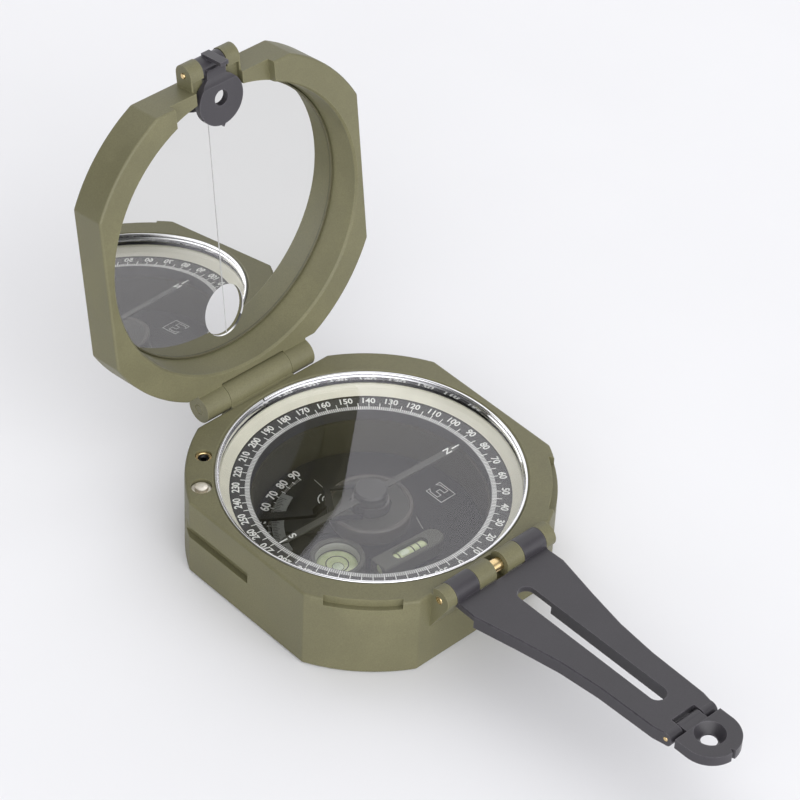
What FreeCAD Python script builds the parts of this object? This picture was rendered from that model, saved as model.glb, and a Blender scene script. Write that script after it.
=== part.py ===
import FreeCAD, Part
import math
import os
import re

# Sighting compass: a low eight-sided case with a glazed dial, a mirror lid hinged behind it,
# and a slotted sight arm hinged in front. Millimetres, +Z up. The origin is the centre of
# the underside, X runs along both hinge lines and the sight arm points along -Y.

Vector = FreeCAD.Vector

DIMENSIONS = {
    # lower case
    "case_radius": 41.0,
    "case_half_width": 36.5,
    "case_half_depth": 36.2,
    "case_height": 20.6,
    "edge_round": 0.6,
    "corner_round": 1.2,
    "arm_bevel": 0.25,
    "well_radius": 26.0,
    "well_floor": 3.0,
    "gear_pocket_radius": 35.95,
    "gear_pocket_floor": 12.7,
    "gear_pocket_top": 15.0,
    "lip_radius": 31.3,
    "lip_top": 15.85,
    "wall_seat_radius": 34.1,
    "crystal_seat_floor": 17.8,
    "crystal_seat_radius": 34.5,
    "lever_recess_radius": 16.3,
    "lever_recess_depth": 2.0,
    "groove_low": 10.3,
    "groove_high": 13.4,
    "groove_depth": 1.5,
    "groove_front": -0.7,
    "grip_radius": 39.75,
    "grip_half": 8.45,
    "grip_floor": 18.75,
    # hinges
    "running_gap": 0.05,
    "side_gap": 0.12,
    "lid_hinge_y": 39.9,
    "lid_hinge_z": 21.3,
    "lid_knuckle_radius": 3.3,
    "lid_knuckle_end": 15.8,
    "case_knuckle_end": 9.0,
    "lid_pin_radius": 1.2,
    "lid_angle": 97.8,
    "sight_hinge_y": -38.5,
    "sight_hinge_z": 20.4,
    "sight_knuckle_radius": 2.8,
    "sight_pin_radius": 0.95,
    "ear_inner": 1.7,
    "arm_barrel_start": 6.6,
    "arm_barrel_end": 13.27,
    "lug_end": 16.0,
    "sleeve_radius": 1.5,
    # dial window
    "crystal_floor": 18.0,
    "crystal_thick": 0.8,
    "crystal_radius": 34.3,
    "snap_ring_radius": 34.07,
    "snap_wire_radius": 0.4,
    "snap_split_angle": 93.4,
    "bezel_inner": 33.5,
    "bezel_outer": 34.35,
    "bezel_top": 19.85,
    "dial_wall_foot_radius": 31.2,
    "dial_wall_outer": 34.0,
    "dial_wall_mouth": 33.3,
    # azimuth ring and its gears
    "ring_top": 15.65,
    "ring_floor": 12.85,
    "ring_inner": 26.6,
    "ring_outer": 31.0,
    "gear_floor": 13.0,
    "gear_top": 14.6,
    "gear_module": 0.5,
    "ring_teeth": 141,
    "pinion_teeth": 8,
    "tooth_height": 0.35,
    "tooth_width": 0.45,
    "pinion_angle": 130.9,
    "pinion_shaft_radius": 1.2,
    "bush_radius": 1.9,
    "bush_top": 20.1,
    # plunger and needle lift
    "plunger_radius": 37.5,
    "plunger_angle": 146.2,
    "plunger_head_radius": 1.35,
    "plunger_stem_radius": 1.0,
    "plunger_stem_foot": 10.28,
    "plunger_seat_radius": 1.75,
    "plunger_seat_floor": 16.0,
    "plunger_head_foot": 17.6,
    "plunger_proud": 0.14,
    "plunger_ring_floor": 18.8,
    "plunger_ring_top": 19.75,
    "plunger_ring_radius": 2.35,
    "spring_wire": 0.14,
    "spring_radius": 1.32,
    "lift_pivot_radius": 27.5,
    "lift_pivot_z": 9.8,
    "lift_thick": 0.8,
    "lift_half_width": 1.0,
    "lift_channel_half": 1.6,
    "lift_pin_radius": 0.5,
    "fork_floor": 12.05,
    "fork_thick": 0.55,
    "fork_inner": 4.4,
    "fork_outer": 5.4,
    # dial floor and clinometer
    "base_plate_radius": 25.6,
    "base_plate_thick": 0.8,
    "spindle_radius": 1.6,
    "spindle_bush_radius": 2.6,
    "arm_plate_floor": 4.2,
    "arm_plate_thick": 0.6,
    "vernier_inner": 19.0,
    "vernier_outer": 21.7,
    "vernier_start": 112.0,
    "vernier_sweep": 53.0,
    "cup_radius": 9.2,
    "cup_bead_radius": 9.6,
    "cup_wall": 0.6,
    "cup_floor": 7.5,
    "cup_rim": 11.6,
    "round_level_x": -14.6,
    "round_level_y": -5.5,
    "round_level_radius": 6.1,
    "round_vial_radius": 4.6,
    "round_level_top": 8.5,
    "round_vial_top": 6.0,
    "round_bore_radius": 5.0,
    "tube_level_angle": -4.0,
    "tube_level_offset": 14.0,
    "tube_level_along": 0.1,
    "tube_level_length": 17.8,
    "tube_level_width": 5.0,
    "tube_level_top": 8.6,
    "tube_vial_radius": 1.6,
    "tube_window_length": 9.4,
    "tube_window_half": 1.5,
    "clino_lever_length": 27.0,
    "clino_lever_width": 5.0,
    # needle
    "needle_floor": 14.25,
    "needle_thick": 0.35,
    "needle_half_length": 26.2,
    "needle_half_width": 0.8,
    "needle_angle": -2.3,
    "hub_radius": 3.8,
    "hub_floor": 13.1,
    "cap_top": 16.0,
    "magnet_radius": 4.2,
    "magnet_floor": 9.2,
    "pivot_radius": 0.8,
    # lid, in its closed place
    "lid_rim": 20.8,
    "lid_back": 30.0,
    "lid_half_depth": 36.5,
    "lid_mouth_radius": 34.4,
    "lid_wall_radius": 33.5,
    "lid_floor": 29.3,
    "mirror_front": 28.05,
    "mirror_tilt": 1.2,
    "mirror_thick": 0.5,
    "mirror_radius": 33.4,
    "retainer_section": 0.35,
    "window_y": 24.05,
    "sight_offset": -0.45,
    "window_half_width": 5.6,
    "window_half_height": 6.6,
    "sight_line_width": 0.16,
    "arm_relief_half": 13.7,
    "arm_relief_depth": 2.0,
    # small sight on the lid, in its closed place
    "small_pin_y": -39.7,
    "small_pin_z": 26.2,
    "small_ear_radius": 2.5,
    "small_ear_inner": 3.3,
    "small_ear_outer": 6.8,
    "small_barrel_radius": 2.3,
    "small_pin_radius": 0.7,
    "disc_floor": 22.6,
    "disc_thick": 1.6,
    "disc_radius": 6.0,
    "disc_y": -32.4,
    "peep_radius": 1.8,
    "peep_y": -32.9,
    # sight arm
    "arm_top": 19.9,
    "arm_web": 1.4,
    "arm_thick": 3.3,
    "arm_root_y": -41.6,
    "arm_root_half": 13.3,
    "arm_corner_y": -46.4,
    "arm_waist_y": -57.4,
    "arm_waist_half": 10.9,
    "arm_neck_y": -67.8,
    "arm_neck_half": 8.9,
    "arm_shank_y": -78.0,
    "arm_shank_half": 7.9,
    "arm_end_y": -93.0,
    "arm_end_half": 7.5,
    "slot_half": 2.1,
    "slot_start": -46.6,
    "slot_end": -89.0,
    "nest_half": 7.2,
    "nest_end": -54.0,
    "tip_pin_y": -96.0,
    "tip_pin_z": 18.25,
    "tip_pin_radius": 0.6,
    "cheek_radius": 1.65,
    "cheek_end": 6.9,
    "clevis_half": 3.2,
    "clevis_floor": -94.1,
    "tip_half": 6.7,
    "tip_edge": -98.35,
    "tip_hole_y": -101.8,
    "tip_thick": 2.5,
    "tip_cone_radius": 3.4,
    "tip_hole_radius": 1.8,
}

NODES = []
GEAR_DISTANCE = "gear_module * (ring_teeth + pinion_teeth) / 2"


def size(text):
    """The present value of a dimension or of a sum of dimensions."""
    return float(sheet.evalExpression(bound(text)))


def bound(text):
    """The same expression with the sheet's name before each dimension."""
    return re.sub(r"[a-z_]{3,}", lambda word: named(word.group(0)), str(text))


def named(word):
    return "dims." + word if word in DIMENSIONS else word


def bind(thing, **expressions):
    for name, text in expressions.items():
        thing.setExpression(name, bound(text))


TURNS = {
    "Z": FreeCAD.Rotation(),
    "X": FreeCAD.Rotation(Vector(0, 1, 0), 90),
    "Y": FreeCAD.Rotation(Vector(1, 0, 0), -90),
}


def put(thing, at, along="Z"):
    """Binds a primitive's place; along is the direction of its own Z axis."""
    thing.Placement.Rotation = TURNS[along]
    for axis, text in zip("xyz", at):
        thing.setExpression("Placement.Base." + axis, bound(text))
    return thing


def cylinder(radius, height, at, along="Z"):
    thing = doc.addObject("Part::Cylinder", "Rod")
    bind(thing, Radius=radius, Height=height)
    return put(thing, at, along)


def cone(foot_radius, head_radius, height, at, along="Z"):
    thing = doc.addObject("Part::Cone", "Taper")
    bind(thing, Radius1=foot_radius, Radius2=head_radius, Height=height)
    return put(thing, at, along)


def box(low, high):
    """A box between two corners, each coordinate an expression."""
    thing = doc.addObject("Part::Box", "Block")
    lengths = [f"({b}) - ({a})" for a, b in zip(low, high)]
    bind(thing, Length=lengths[0], Width=lengths[1], Height=lengths[2])
    return put(thing, low)


def rod(radius, start, end, y, z):
    """A cylinder along X."""
    return cylinder(radius, f"({end}) - ({start})", (start, y, z), "X")


def rods(radius, inner, outer, y, z):
    """The same cylinder on both sides of the centre plane."""
    return [rod(radius, inner, outer, y, z), rod(radius, f"-({outer})", f"-({inner})", y, z)]


def fuse(*things):
    result = doc.addObject("Part::MultiFuse", "Joined")
    result.Shapes = list(things)
    result.Refine = True
    return result


def cut(base, *tools):
    result = doc.addObject("Part::Cut", "Trimmed")
    result.Base = base
    result.Tool = tools[0] if len(tools) == 1 else fuse(*tools)
    result.Refine = True
    doc.recompute()
    if result.Shape.Volume >= base.Shape.Volume:
        raise ValueError("a cut removed nothing from " + base.Name)
    return result


def common(first, second):
    result = doc.addObject("Part::Common", "Shared")
    result.Base = first
    result.Tool = second
    return result


def washer(inner, outer, low, high):
    """A flat ring about the dial axis."""
    blank = cylinder(outer, f"({high}) - ({low})", (0, 0, low))
    return cut(blank, cylinder(inner, f"({high}) - ({low}) + 2", (0, 0, f"({low}) - 1")))


def origin_plane(body, role):
    return next(plane for plane in body.Origin.OriginFeatures if plane.Role == role)


def outline(body, points, role, offset):
    """A closed sketch whose corners are held by dimensions from the origin."""
    import Sketcher
    sketch = body.newObject("Sketcher::SketchObject", "Outline")
    sketch.AttachmentSupport = [(origin_plane(body, role), "")]
    sketch.MapMode = "FlatFace"
    sketch.setExpression("AttachmentOffset.Base.z", bound(offset))
    places = [Vector(size(x), size(y), 0) for x, y in points]
    count = len(places)
    for index, place in enumerate(places):
        sketch.addGeometry(Part.LineSegment(place, places[(index + 1) % count]), False)
    for index in range(count):
        sketch.addConstraint(Sketcher.Constraint("Coincident", index, 2, (index + 1) % count, 1))
    for index, (place, texts) in enumerate(zip(places, points)):
        for kind, value, text, axis in zip(("DistanceX", "DistanceY"), place, texts, (-2, -1)):
            if abs(value) < 1e-9:
                sketch.addConstraint(Sketcher.Constraint("PointOnObject", index, 1, axis))
                continue
            held = sketch.addConstraint(Sketcher.Constraint(kind, -1, 1, index, 1, value))
            sketch.setExpression(f"Constraints[{held}]", bound(text))
    return sketch


def plate(points, low, thick):
    """A flat plate padded up from a sketched outline."""
    body = doc.addObject("PartDesign::Body", "Plate")
    sketch = outline(body, points, "XY_Plane", low)
    pad = body.newObject("PartDesign::Pad", "Pad")
    pad.Profile = sketch
    bind(pad, Length=thick)
    doc.recompute()
    return body


def rib(points, start, end):
    """A bar along X padded from a sketched (y, z) section."""
    body = doc.addObject("PartDesign::Body", "Rib")
    sketch = outline(body, points, "YZ_Plane", start)
    pad = body.newObject("PartDesign::Pad", "Pad")
    pad.Profile = sketch
    bind(pad, Length=f"({end}) - ({start})")
    doc.recompute()
    return body


def mirrored(points):
    """A full outline from the points of its +X half, listed from front to back."""
    return points + [("-(" + str(x) + ")", y) for x, y in reversed(points)]


def bevel(thing, amount, chosen):
    """Bevels the edges for which chosen(edge) is true."""
    doc.recompute()
    edges = [number for number, edge in enumerate(thing.Shape.Edges, 1) if chosen(edge)]
    result = doc.addObject("Part::Chamfer", "Bevelled")
    result.Base = thing
    result.Edges = [(number, size(amount), size(amount)) for number in edges]
    return result


def rounded(thing, rounds):
    """Rounds each edge by the radius that rounds(edge) gives, or leaves it for None."""
    doc.recompute()
    radii = [(number, rounds(edge)) for number, edge in enumerate(thing.Shape.Edges, 1)]
    result = doc.addObject("Part::Fillet", "Rounded")
    result.Base = thing
    result.Edges = [(number, size(radius), size(radius)) for number, radius in radii if radius]
    return result


def shell_rounds(edge):
    """A wide round on the eight upright corners, a small one round the top and bottom."""
    upright = edge.BoundBox.XLength < 1e-6 and edge.BoundBox.YLength < 1e-6
    return "corner_round" if upright else "edge_round"


def level(edge, *heights):
    """True for an edge that lies flat at one of the heights."""
    span = edge.BoundBox
    return span.ZLength < 1e-6 and any(abs(span.ZMin - height) < 1e-6 for height in heights)


def spin(thing, angle):
    """Turns a finished piece about the dial axis."""
    thing.Placement = FreeCAD.Placement(Vector(), FreeCAD.Rotation(Vector(0, 0, 1), size(angle)))
    return thing


def polar(radius, angle):
    return f"({radius}) * cos({angle})", f"({radius}) * sin({angle})"


def node(label, thing):
    """Names a finished sub-part; the label is its file's name."""
    thing.Label = label
    NODES.append(thing)
    return thing


def shaped(label, shape):
    thing = doc.addObject("Part::Feature", "Shaped")
    thing.Shape = shape
    return node(label, thing)


# ---------------------------------------------------------------- lower case

def eight_sided(radius, half_width, half_depth, low, high):
    """The outline shared by the case and the lid: a disc with four flats."""
    disc = cylinder(radius, f"({high}) - ({low})", (0, 0, low))
    flats = box((f"-({half_width})", f"-({half_depth})", low), (half_width, half_depth, high))
    return common(disc, flats)


def case_blank():
    blank = eight_sided("case_radius", "case_half_width", "case_half_depth", 0, "case_height")
    return rounded(blank, shell_rounds)


def case_lid_knuckle():
    """The middle knuckle of the lid hinge and the web that carries it."""
    web = rib([("case_half_depth - 0.8", "case_height - 10"),
               ("case_half_depth", "case_height - 10"),
               ("lid_hinge_y + lid_knuckle_radius * 0.9", "lid_hinge_z - lid_knuckle_radius * 0.44"),
               ("lid_hinge_y", "lid_hinge_z"),
               ("case_half_depth - 0.8", "case_height - 0.3")],
              "-case_knuckle_end", "case_knuckle_end")
    barrel = rod("lid_knuckle_radius", "-case_knuckle_end", "case_knuckle_end",
                 "lid_hinge_y", "lid_hinge_z")
    return [web, barrel]


def case_sight_lugs():
    """The wedge under the sight hinge, its two inner ears and its two outer lugs."""
    wedge = rib([("0.8 - case_half_depth", "case_height - 9.6"),
                 ("-case_half_depth", "case_height - 9.6"),
                 ("sight_hinge_y - sight_knuckle_radius * 0.88",
                  "sight_hinge_z - sight_knuckle_radius * 0.47"),
                 ("sight_hinge_y", "sight_hinge_z"),
                 ("0.8 - case_half_depth", "case_height - 0.1")],
                "-lug_end", "lug_end")
    barrel = rod("sight_knuckle_radius", "-lug_end", "lug_end", "sight_hinge_y", "sight_hinge_z")
    return [wedge, barrel]


def lug_backs():
    """The waste behind each outer lug, above the case, where the closed lid's edge comes down."""
    low, high = ("-0.2 - lid_half_depth", "case_height + 0.02"), (1, "case_height + 6")
    return [box(("arm_barrel_end", *low), ("lug_end + 1", "2 - lid_half_depth", high[1])),
            box(("-lug_end - 1", *low), ("-arm_barrel_end", "2 - lid_half_depth", high[1]))]


def case_bores():
    """Every turned space about the dial axis, from the underside up."""
    return [
        cylinder("lever_recess_radius", "lever_recess_depth + 1", (0, 0, -1)),
        cylinder("spindle_bush_radius + running_gap", "well_floor + 2", (0, 0, -1)),
        cylinder("well_radius", "gear_pocket_floor - well_floor + 1", (0, 0, "well_floor")),
        cylinder("gear_pocket_radius", "gear_pocket_top - gear_pocket_floor",
                 (0, 0, "gear_pocket_floor")),
        cylinder("lip_radius", "lip_top - gear_pocket_top + 1", (0, 0, "gear_pocket_top - 0.5")),
        cylinder("wall_seat_radius", "crystal_seat_floor - lip_top + 1", (0, 0, "lip_top")),
        cylinder("crystal_seat_radius", "case_height", (0, 0, "crystal_seat_floor")),
        cone("crystal_seat_radius", "crystal_seat_radius + 1.2", 1.2,
             (0, 0, "case_height - 0.35")),
    ]


def case_hinge_gaps():
    """Room for the lid's knuckles, the arm's barrels and both hinge pins."""
    room = "lid_knuckle_radius + 0.3"
    sight = ("sight_hinge_y", "sight_hinge_z")
    lid = ("lid_hinge_y", "lid_hinge_z")
    outer = rods(room, "case_knuckle_end", "lid_knuckle_end + 0.3", *lid)
    barrels = rods("sight_knuckle_radius + 0.3", "arm_barrel_start", "arm_barrel_end", *sight)
    middle = rod("sight_knuckle_radius + 0.3", "-ear_inner", "ear_inner", *sight)
    lid_bore = rod("lid_pin_radius + 0.02", "-20", "20", *lid)
    sight_bore = rod("sight_pin_radius + 0.02", "-20", "20", *sight)
    return outer + barrels + [middle, lid_bore, sight_bore]


def tripod_grooves():
    """One slot in each side face, open at its back end, for a tripod bracket's jaws."""
    inside = "case_half_width - groove_depth"
    low, high = ("groove_front", "groove_low"), ("case_half_width", "groove_high")
    right = box((inside,) + low, ("case_radius + 1",) + high)
    left = box(("-case_radius - 1",) + low, (f"-({inside})",) + high)
    return [right, left]


def grip_notches():
    """A notch in the rim at each front corner, where a thumbnail lifts the lid."""
    notches = []
    for angle in (-45, -135):
        band = washer("grip_radius", "case_radius + 1", "grip_floor", "case_height + 1")
        ends = box(("grip_radius - 3", "-grip_half", 0), ("case_radius + 1", "grip_half", 30))
        notches.append(spin(common(band, ends), angle))
    return notches


def plunger_bores():
    x, y = polar("plunger_radius", "plunger_angle")
    channel = box(("well_radius - 1", "-lift_channel_half", 7.6),
                  ("plunger_radius + 1.7", "lift_channel_half", "gear_pocket_floor + 0.1"))
    pin_bore = cylinder("lift_pin_radius + 0.02", 5.2,
                        ("lift_pivot_radius", -2.6, "lift_pivot_z"), "Y")
    return [
        cylinder("plunger_ring_radius + 0.02", 4, (x, y, "plunger_ring_floor")),
        cylinder("plunger_seat_radius", 4, (x, y, "plunger_seat_floor")),
        cylinder("plunger_stem_radius + 0.06", 8, (x, y, 9)),
        spin(fuse(channel, pin_bore), "plunger_angle"),
    ]


def pinion_bores():
    x, y = polar(GEAR_DISTANCE, "pinion_angle")
    return [
        cylinder(2.7, "gear_pocket_top - gear_pocket_floor", (x, y, "gear_pocket_floor")),
        cylinder("pinion_shaft_radius + running_gap", 9, (x, y, "case_height - 8")),
        cylinder("bush_radius + 0.02", 3, (x, y, "case_height - 2.2")),
        cylinder("0.8 + running_gap", 2.4, (x, y, "gear_pocket_floor - 2")),
    ]


FLOOR_SCREW_ANGLES = (30, 150, 270)
FLOOR_SCREW_RADIUS = 21.0


def floor_screw_bores():
    bores = []
    for angle in FLOOR_SCREW_ANGLES:
        x, y = polar(FLOOR_SCREW_RADIUS, angle)
        bores.append(cylinder(0.82, 6, (x, y, -1)))
        bores.append(cylinder(1.62, 1.9, (x, y, -1)))
    return bores


def lower_case():
    blank = fuse(case_blank(), *case_lid_knuckle(), *case_sight_lugs())
    spaces = case_bores() + case_hinge_gaps() + tripod_grooves() + grip_notches()
    spaces += plunger_bores() + pinion_bores() + floor_screw_bores() + lug_backs()
    node("lower_case", cut(blank, *spaces))


def floor_screws():
    """Three flush screws that hold the dial's base plate from the underside."""
    screws = []
    for angle in FLOOR_SCREW_ANGLES:
        x, y = polar(FLOOR_SCREW_RADIUS, angle)
        head = cylinder(1.58, 0.8, (x, y, 0.08))
        shank = cylinder(0.78, "well_floor - 0.1", (x, y, 0.6))
        slot = box((f"{x} - 2", f"{y} - 0.2", -1), (f"{x} + 2", f"{y} + 0.2", 0.4))
        screws.append(cut(fuse(head, shank), slot))
    group = doc.addObject("Part::Compound", "Screws")
    group.Links = screws
    node("floor_screws", group)


# ---------------------------------------------------------------- dial window

def dial_wall_ring():
    """The pale ring that the eye sees between the dial and the glass."""
    low, high = "lip_top", "crystal_seat_floor"
    blank = cylinder("dial_wall_outer", f"{high} - {low}", (0, 0, low))
    mouth = cone("dial_wall_foot_radius", "dial_wall_mouth", f"{high} - {low}", (0, 0, low))
    node("dial_wall_ring", cut(blank, mouth))


def crystal_gasket():
    node("crystal_gasket", washer("dial_wall_mouth + 0.35", "crystal_radius",
                                  "crystal_seat_floor", "crystal_floor"))


def crystal():
    disc = cylinder("crystal_radius", "crystal_thick", (0, 0, "crystal_floor"))
    top = size("crystal_floor + crystal_thick")
    node("crystal", bevel(disc, 0.15, lambda edge: level(edge, top)))


def bezel_ring():
    ring = washer("bezel_inner", "bezel_outer", "crystal_floor + crystal_thick", "bezel_top")
    top = size("bezel_top")
    node("bezel_ring", bevel(ring, 0.2, lambda edge: level(edge, top)))


def snap_ring():
    """The split wire ring that springs into the case above the glass."""
    wire = doc.addObject("Part::Torus", "Wire")
    bind(wire, Radius1="snap_ring_radius", Radius2="snap_wire_radius")
    put(wire, (0, 0, "bezel_top + snap_wire_radius"))
    gap = box(("snap_ring_radius - 1", -0.22, "crystal_floor"),
              ("snap_ring_radius + 1", 0.22, "case_height + 1"))
    marker = box(("snap_ring_radius", -0.1, "crystal_floor"),
                 ("snap_ring_radius + 0.5", 0.1, "case_height"))
    node("snap_ring", cut(wire, spin(fuse(gap, marker), "snap_split_angle")))


# ---------------------------------------------------------------- azimuth ring and gears

def toothed_wire(teeth, pitch_radius, phase):
    """A gear's outline: short straight-sided teeth standing on its root circle."""
    height, width = size("tooth_height"), size("tooth_width")
    root, tip = pitch_radius - height - 0.05, pitch_radius + height
    corners = []
    for number in range(teeth):
        middle = math.radians(phase + 360 * number / teeth)
        for radius, half in ((root, width * 0.75), (tip, width * 0.35)):
            corners.append((radius, middle - half / pitch_radius))
        for radius, half in ((tip, width * 0.35), (root, width * 0.75)):
            corners.append((radius, middle + half / pitch_radius))
    places = [Vector(r * math.cos(a), r * math.sin(a), 0) for r, a in corners]
    return Part.makePolygon(places + places[:1])


def gear_disc(teeth, phase, low, high):
    pitch_radius = size("gear_module") * teeth / 2
    face = Part.Face(toothed_wire(teeth, pitch_radius, phase))
    disc = face.extrude(Vector(0, 0, high - low))
    disc.translate(Vector(0, 0, low))
    return disc


def azimuth_ring():
    """The graduated ring; a toothed flange under its edge meets the pinion."""
    teeth = int(size("ring_teeth"))
    phase = size("pinion_angle") + 180 / teeth
    flange = gear_disc(teeth, phase, size("gear_floor"), size("gear_top"))
    low, high = size("ring_floor"), size("ring_top")
    ring = Part.makeCylinder(size("ring_outer"), high - low, Vector(0, 0, low))
    bore = Part.makeCylinder(size("ring_inner"), high, Vector(0, 0, low - 1))
    shaped("azimuth_ring", ring.fuse(flange).cut(bore).removeSplitter())


def declination_pinion():
    """Turns the azimuth ring from a socket beside the glass."""
    teeth = int(size("pinion_teeth"))
    phase = size("pinion_angle") + 180
    radius = size("pinion_shaft_radius")
    top = size("bush_top") - 0.3
    pieces = [
        gear_disc(teeth, phase, size("gear_floor"), size("gear_top")),
        Part.makeCylinder(radius, top - size("gear_floor"), Vector(0, 0, size("gear_floor"))),
        Part.makeCylinder(0.8, 1.8, Vector(0, 0, size("gear_floor") - 1.8)),
    ]
    pinion = pieces[0].fuse(pieces[1:])
    corners = [Vector(0.7 * math.cos(math.radians(a)), 0.7 * math.sin(math.radians(a)), top - 1.6)
               for a in range(0, 361, 60)]
    socket = Part.Face(Part.makePolygon(corners)).extrude(Vector(0, 0, 3))
    mouth = Part.makeCone(0.7, 1.0, 0.35, Vector(0, 0, top - 0.35))
    pinion = pinion.cut(socket.fuse(mouth)).removeSplitter()
    pinion.translate(Vector(size(polar(GEAR_DISTANCE, "pinion_angle")[0]),
                            size(polar(GEAR_DISTANCE, "pinion_angle")[1]), 0))
    shaped("declination_pinion", pinion)


def declination_bush():
    x, y = polar(GEAR_DISTANCE, "pinion_angle")
    blank = cylinder("bush_radius", "bush_top - case_height + 2.2", (x, y, "case_height - 2.2"))
    bore = cylinder("pinion_shaft_radius + running_gap", 4, (x, y, "case_height - 3"))
    top = size("bush_top")
    ring = cut(blank, bore)
    node("declination_bush", bevel(ring, 0.15, lambda edge: level(edge, top)))


# ---------------------------------------------------------------- plunger and needle lift

def lock_plunger():
    """The button that lifts the needle when it is pressed or the lid is shut."""
    x, y = polar("plunger_radius", "plunger_angle")
    head = cylinder("plunger_head_radius", "case_height - plunger_head_foot - 0.1",
                    (x, y, "plunger_head_foot"))
    crown = cone("plunger_head_radius", "plunger_head_radius * 0.45", "plunger_proud + 0.1",
                 (x, y, "case_height - 0.1"))
    stem = cylinder("plunger_stem_radius", "plunger_head_foot - plunger_stem_foot - 1",
                    (x, y, "plunger_stem_foot + 1"))
    nose = cylinder(0.6, 1, (x, y, "plunger_stem_foot"))
    node("lock_plunger", fuse(head, crown, stem, nose))


def plunger_ring():
    x, y = polar("plunger_radius", "plunger_angle")
    blank = cylinder("plunger_ring_radius", "plunger_ring_top - plunger_ring_floor",
                     (x, y, "plunger_ring_floor"))
    bore = cylinder("plunger_head_radius + running_gap", 3, (x, y, "plunger_ring_floor - 1"))
    top = size("plunger_ring_top")
    node("plunger_ring", bevel(cut(blank, bore), 0.15, lambda edge: level(edge, top)))


def plunger_spring():
    x, y = size(polar("plunger_radius", "plunger_angle")[0]), size(polar("plunger_radius", "plunger_angle")[1])
    low = size("plunger_seat_floor + spring_wire + 0.02")
    rise = size("plunger_head_foot - spring_wire - 0.02") - low
    path = Part.makeHelix(rise / 3, rise, size("spring_radius"))
    section = Part.Wire(Part.makeCircle(size("spring_wire"), Vector(size("spring_radius"), 0, 0),
                                        Vector(0, 1, 0)))
    coil = Part.Wire(path).makePipeShell([section], True, True)
    coil.translate(Vector(x, y, low))
    shaped("plunger_spring", coil)


def lift_lever():
    """A rocker under the plunger whose fork rises on either side of the needle's magnet."""
    low, high = "lift_pivot_z - lift_thick / 2", "lift_pivot_z + lift_thick / 2"
    strip = box(("cup_radius + 3.6", "-lift_half_width", low),
                ("plunger_radius + 0.9", "lift_half_width", high))
    ramp = cut(box(("cup_radius + 0.7", "-lift_half_width", low),
                   ("cup_radius + 3.6", "lift_half_width", "fork_floor + fork_thick")),
               ramp_side("lower"), ramp_side("upper"))
    bridge = box(("cup_radius - 0.8", "-fork_outer", "fork_floor"),
                 ("cup_radius + 0.7", "fork_outer", "fork_floor + fork_thick"))
    prongs = [box((2.5, "fork_inner", "fork_floor"),
                  ("cup_radius - 0.8", "fork_outer", "fork_floor + fork_thick")),
              box((2.5, "-fork_outer", "fork_floor"),
                  ("cup_radius - 0.8", "-fork_inner", "fork_floor + fork_thick"))]
    eye = cylinder(0.95, "2 * lift_channel_half - 0.3",
                   ("lift_pivot_radius", "0.15 - lift_channel_half", "lift_pivot_z"), "Y")
    bore = cylinder("lift_pin_radius + running_gap", 6, ("lift_pivot_radius", -3, "lift_pivot_z"), "Y")
    lever = cut(fuse(strip, ramp, bridge, eye, *prongs), bore)
    node("lift_lever", spin(lever, "plunger_angle"))


def ramp_side(side):
    """The waste above or below the lever's sloping stretch."""
    foot, head = "lift_pivot_z - lift_thick / 2", "fork_floor"
    near, far = "cup_radius + 0.7", "cup_radius + 3.6"
    if side == "lower":
        points = [(f"{near} - 1", f"{foot} - 1"), (f"{far} - 0.4", f"{foot} - 1"),
                  (f"{far} - 0.4", foot), (near, head), (f"{near} - 1", head)]
    else:
        foot, head = f"{foot} + lift_thick", f"{head} + fork_thick"
        points = [(f"{far} + 1", foot), (f"{far} + 1", f"{head} + 1"),
                  (f"{near} + 0.4", f"{head} + 1"), (f"{near} + 0.4", head), (far, foot)]
    body = doc.addObject("PartDesign::Body", "RampWaste")
    sketch = outline(body, points, "XZ_Plane", -3)
    pad = body.newObject("PartDesign::Pad", "Pad")
    pad.Profile = sketch
    pad.Length = 6
    doc.recompute()
    return body


def lift_lever_pin():
    pin = cylinder("lift_pin_radius", 5, ("lift_pivot_radius", -2.5, "lift_pivot_z"), "Y")
    groove = box(("lift_pivot_radius - 1", -2.6, "lift_pivot_z - 0.1"),
                 ("lift_pivot_radius + 1", -2.3, "lift_pivot_z + 0.1"))
    node("lift_lever_pin", spin(cut(pin, groove), "plunger_angle"))


# ---------------------------------------------------------------- dial floor and clinometer

def base_plate():
    """The black dial floor that carries the clinometer's scale."""
    disc = cylinder("base_plate_radius", "base_plate_thick", (0, 0, "well_floor"))
    holes = [cylinder("spindle_bush_radius + 0.02", 4, (0, 0, "well_floor - 1"))]
    for angle in FLOOR_SCREW_ANGLES:
        x, y = polar(FLOOR_SCREW_RADIUS, angle)
        holes.append(cylinder(0.8, 0.5, (x, y, "well_floor")))
    node("base_plate", cut(disc, *holes))


def spindle_bush():
    blank = cylinder("spindle_bush_radius", "arm_plate_floor - lever_recess_depth - 0.15",
                     (0, 0, "lever_recess_depth"))
    bore = cylinder("spindle_radius + running_gap", 10, (0, 0, -1))
    node("spindle_bush", cut(blank, bore))


def clinometer_spindle():
    """Turns in the floor; the lever is under it, the clinometer arm and cup on top."""
    foot = 0.45
    shaft = cylinder("spindle_radius", f"arm_plate_floor - {foot}", (0, 0, foot))
    column = cylinder(3.0, "cup_floor - arm_plate_floor - arm_plate_thick",
                      (0, 0, "arm_plate_floor + arm_plate_thick"))
    waist = cylinder("spindle_radius", "arm_plate_thick + 0.2", (0, 0, "arm_plate_floor - 0.1"))
    screw_bore = cylinder(0.62, 2.4, (0, 0, foot - 0.5))
    node("clinometer_spindle", cut(fuse(shaft, column, waist), screw_bore))


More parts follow.
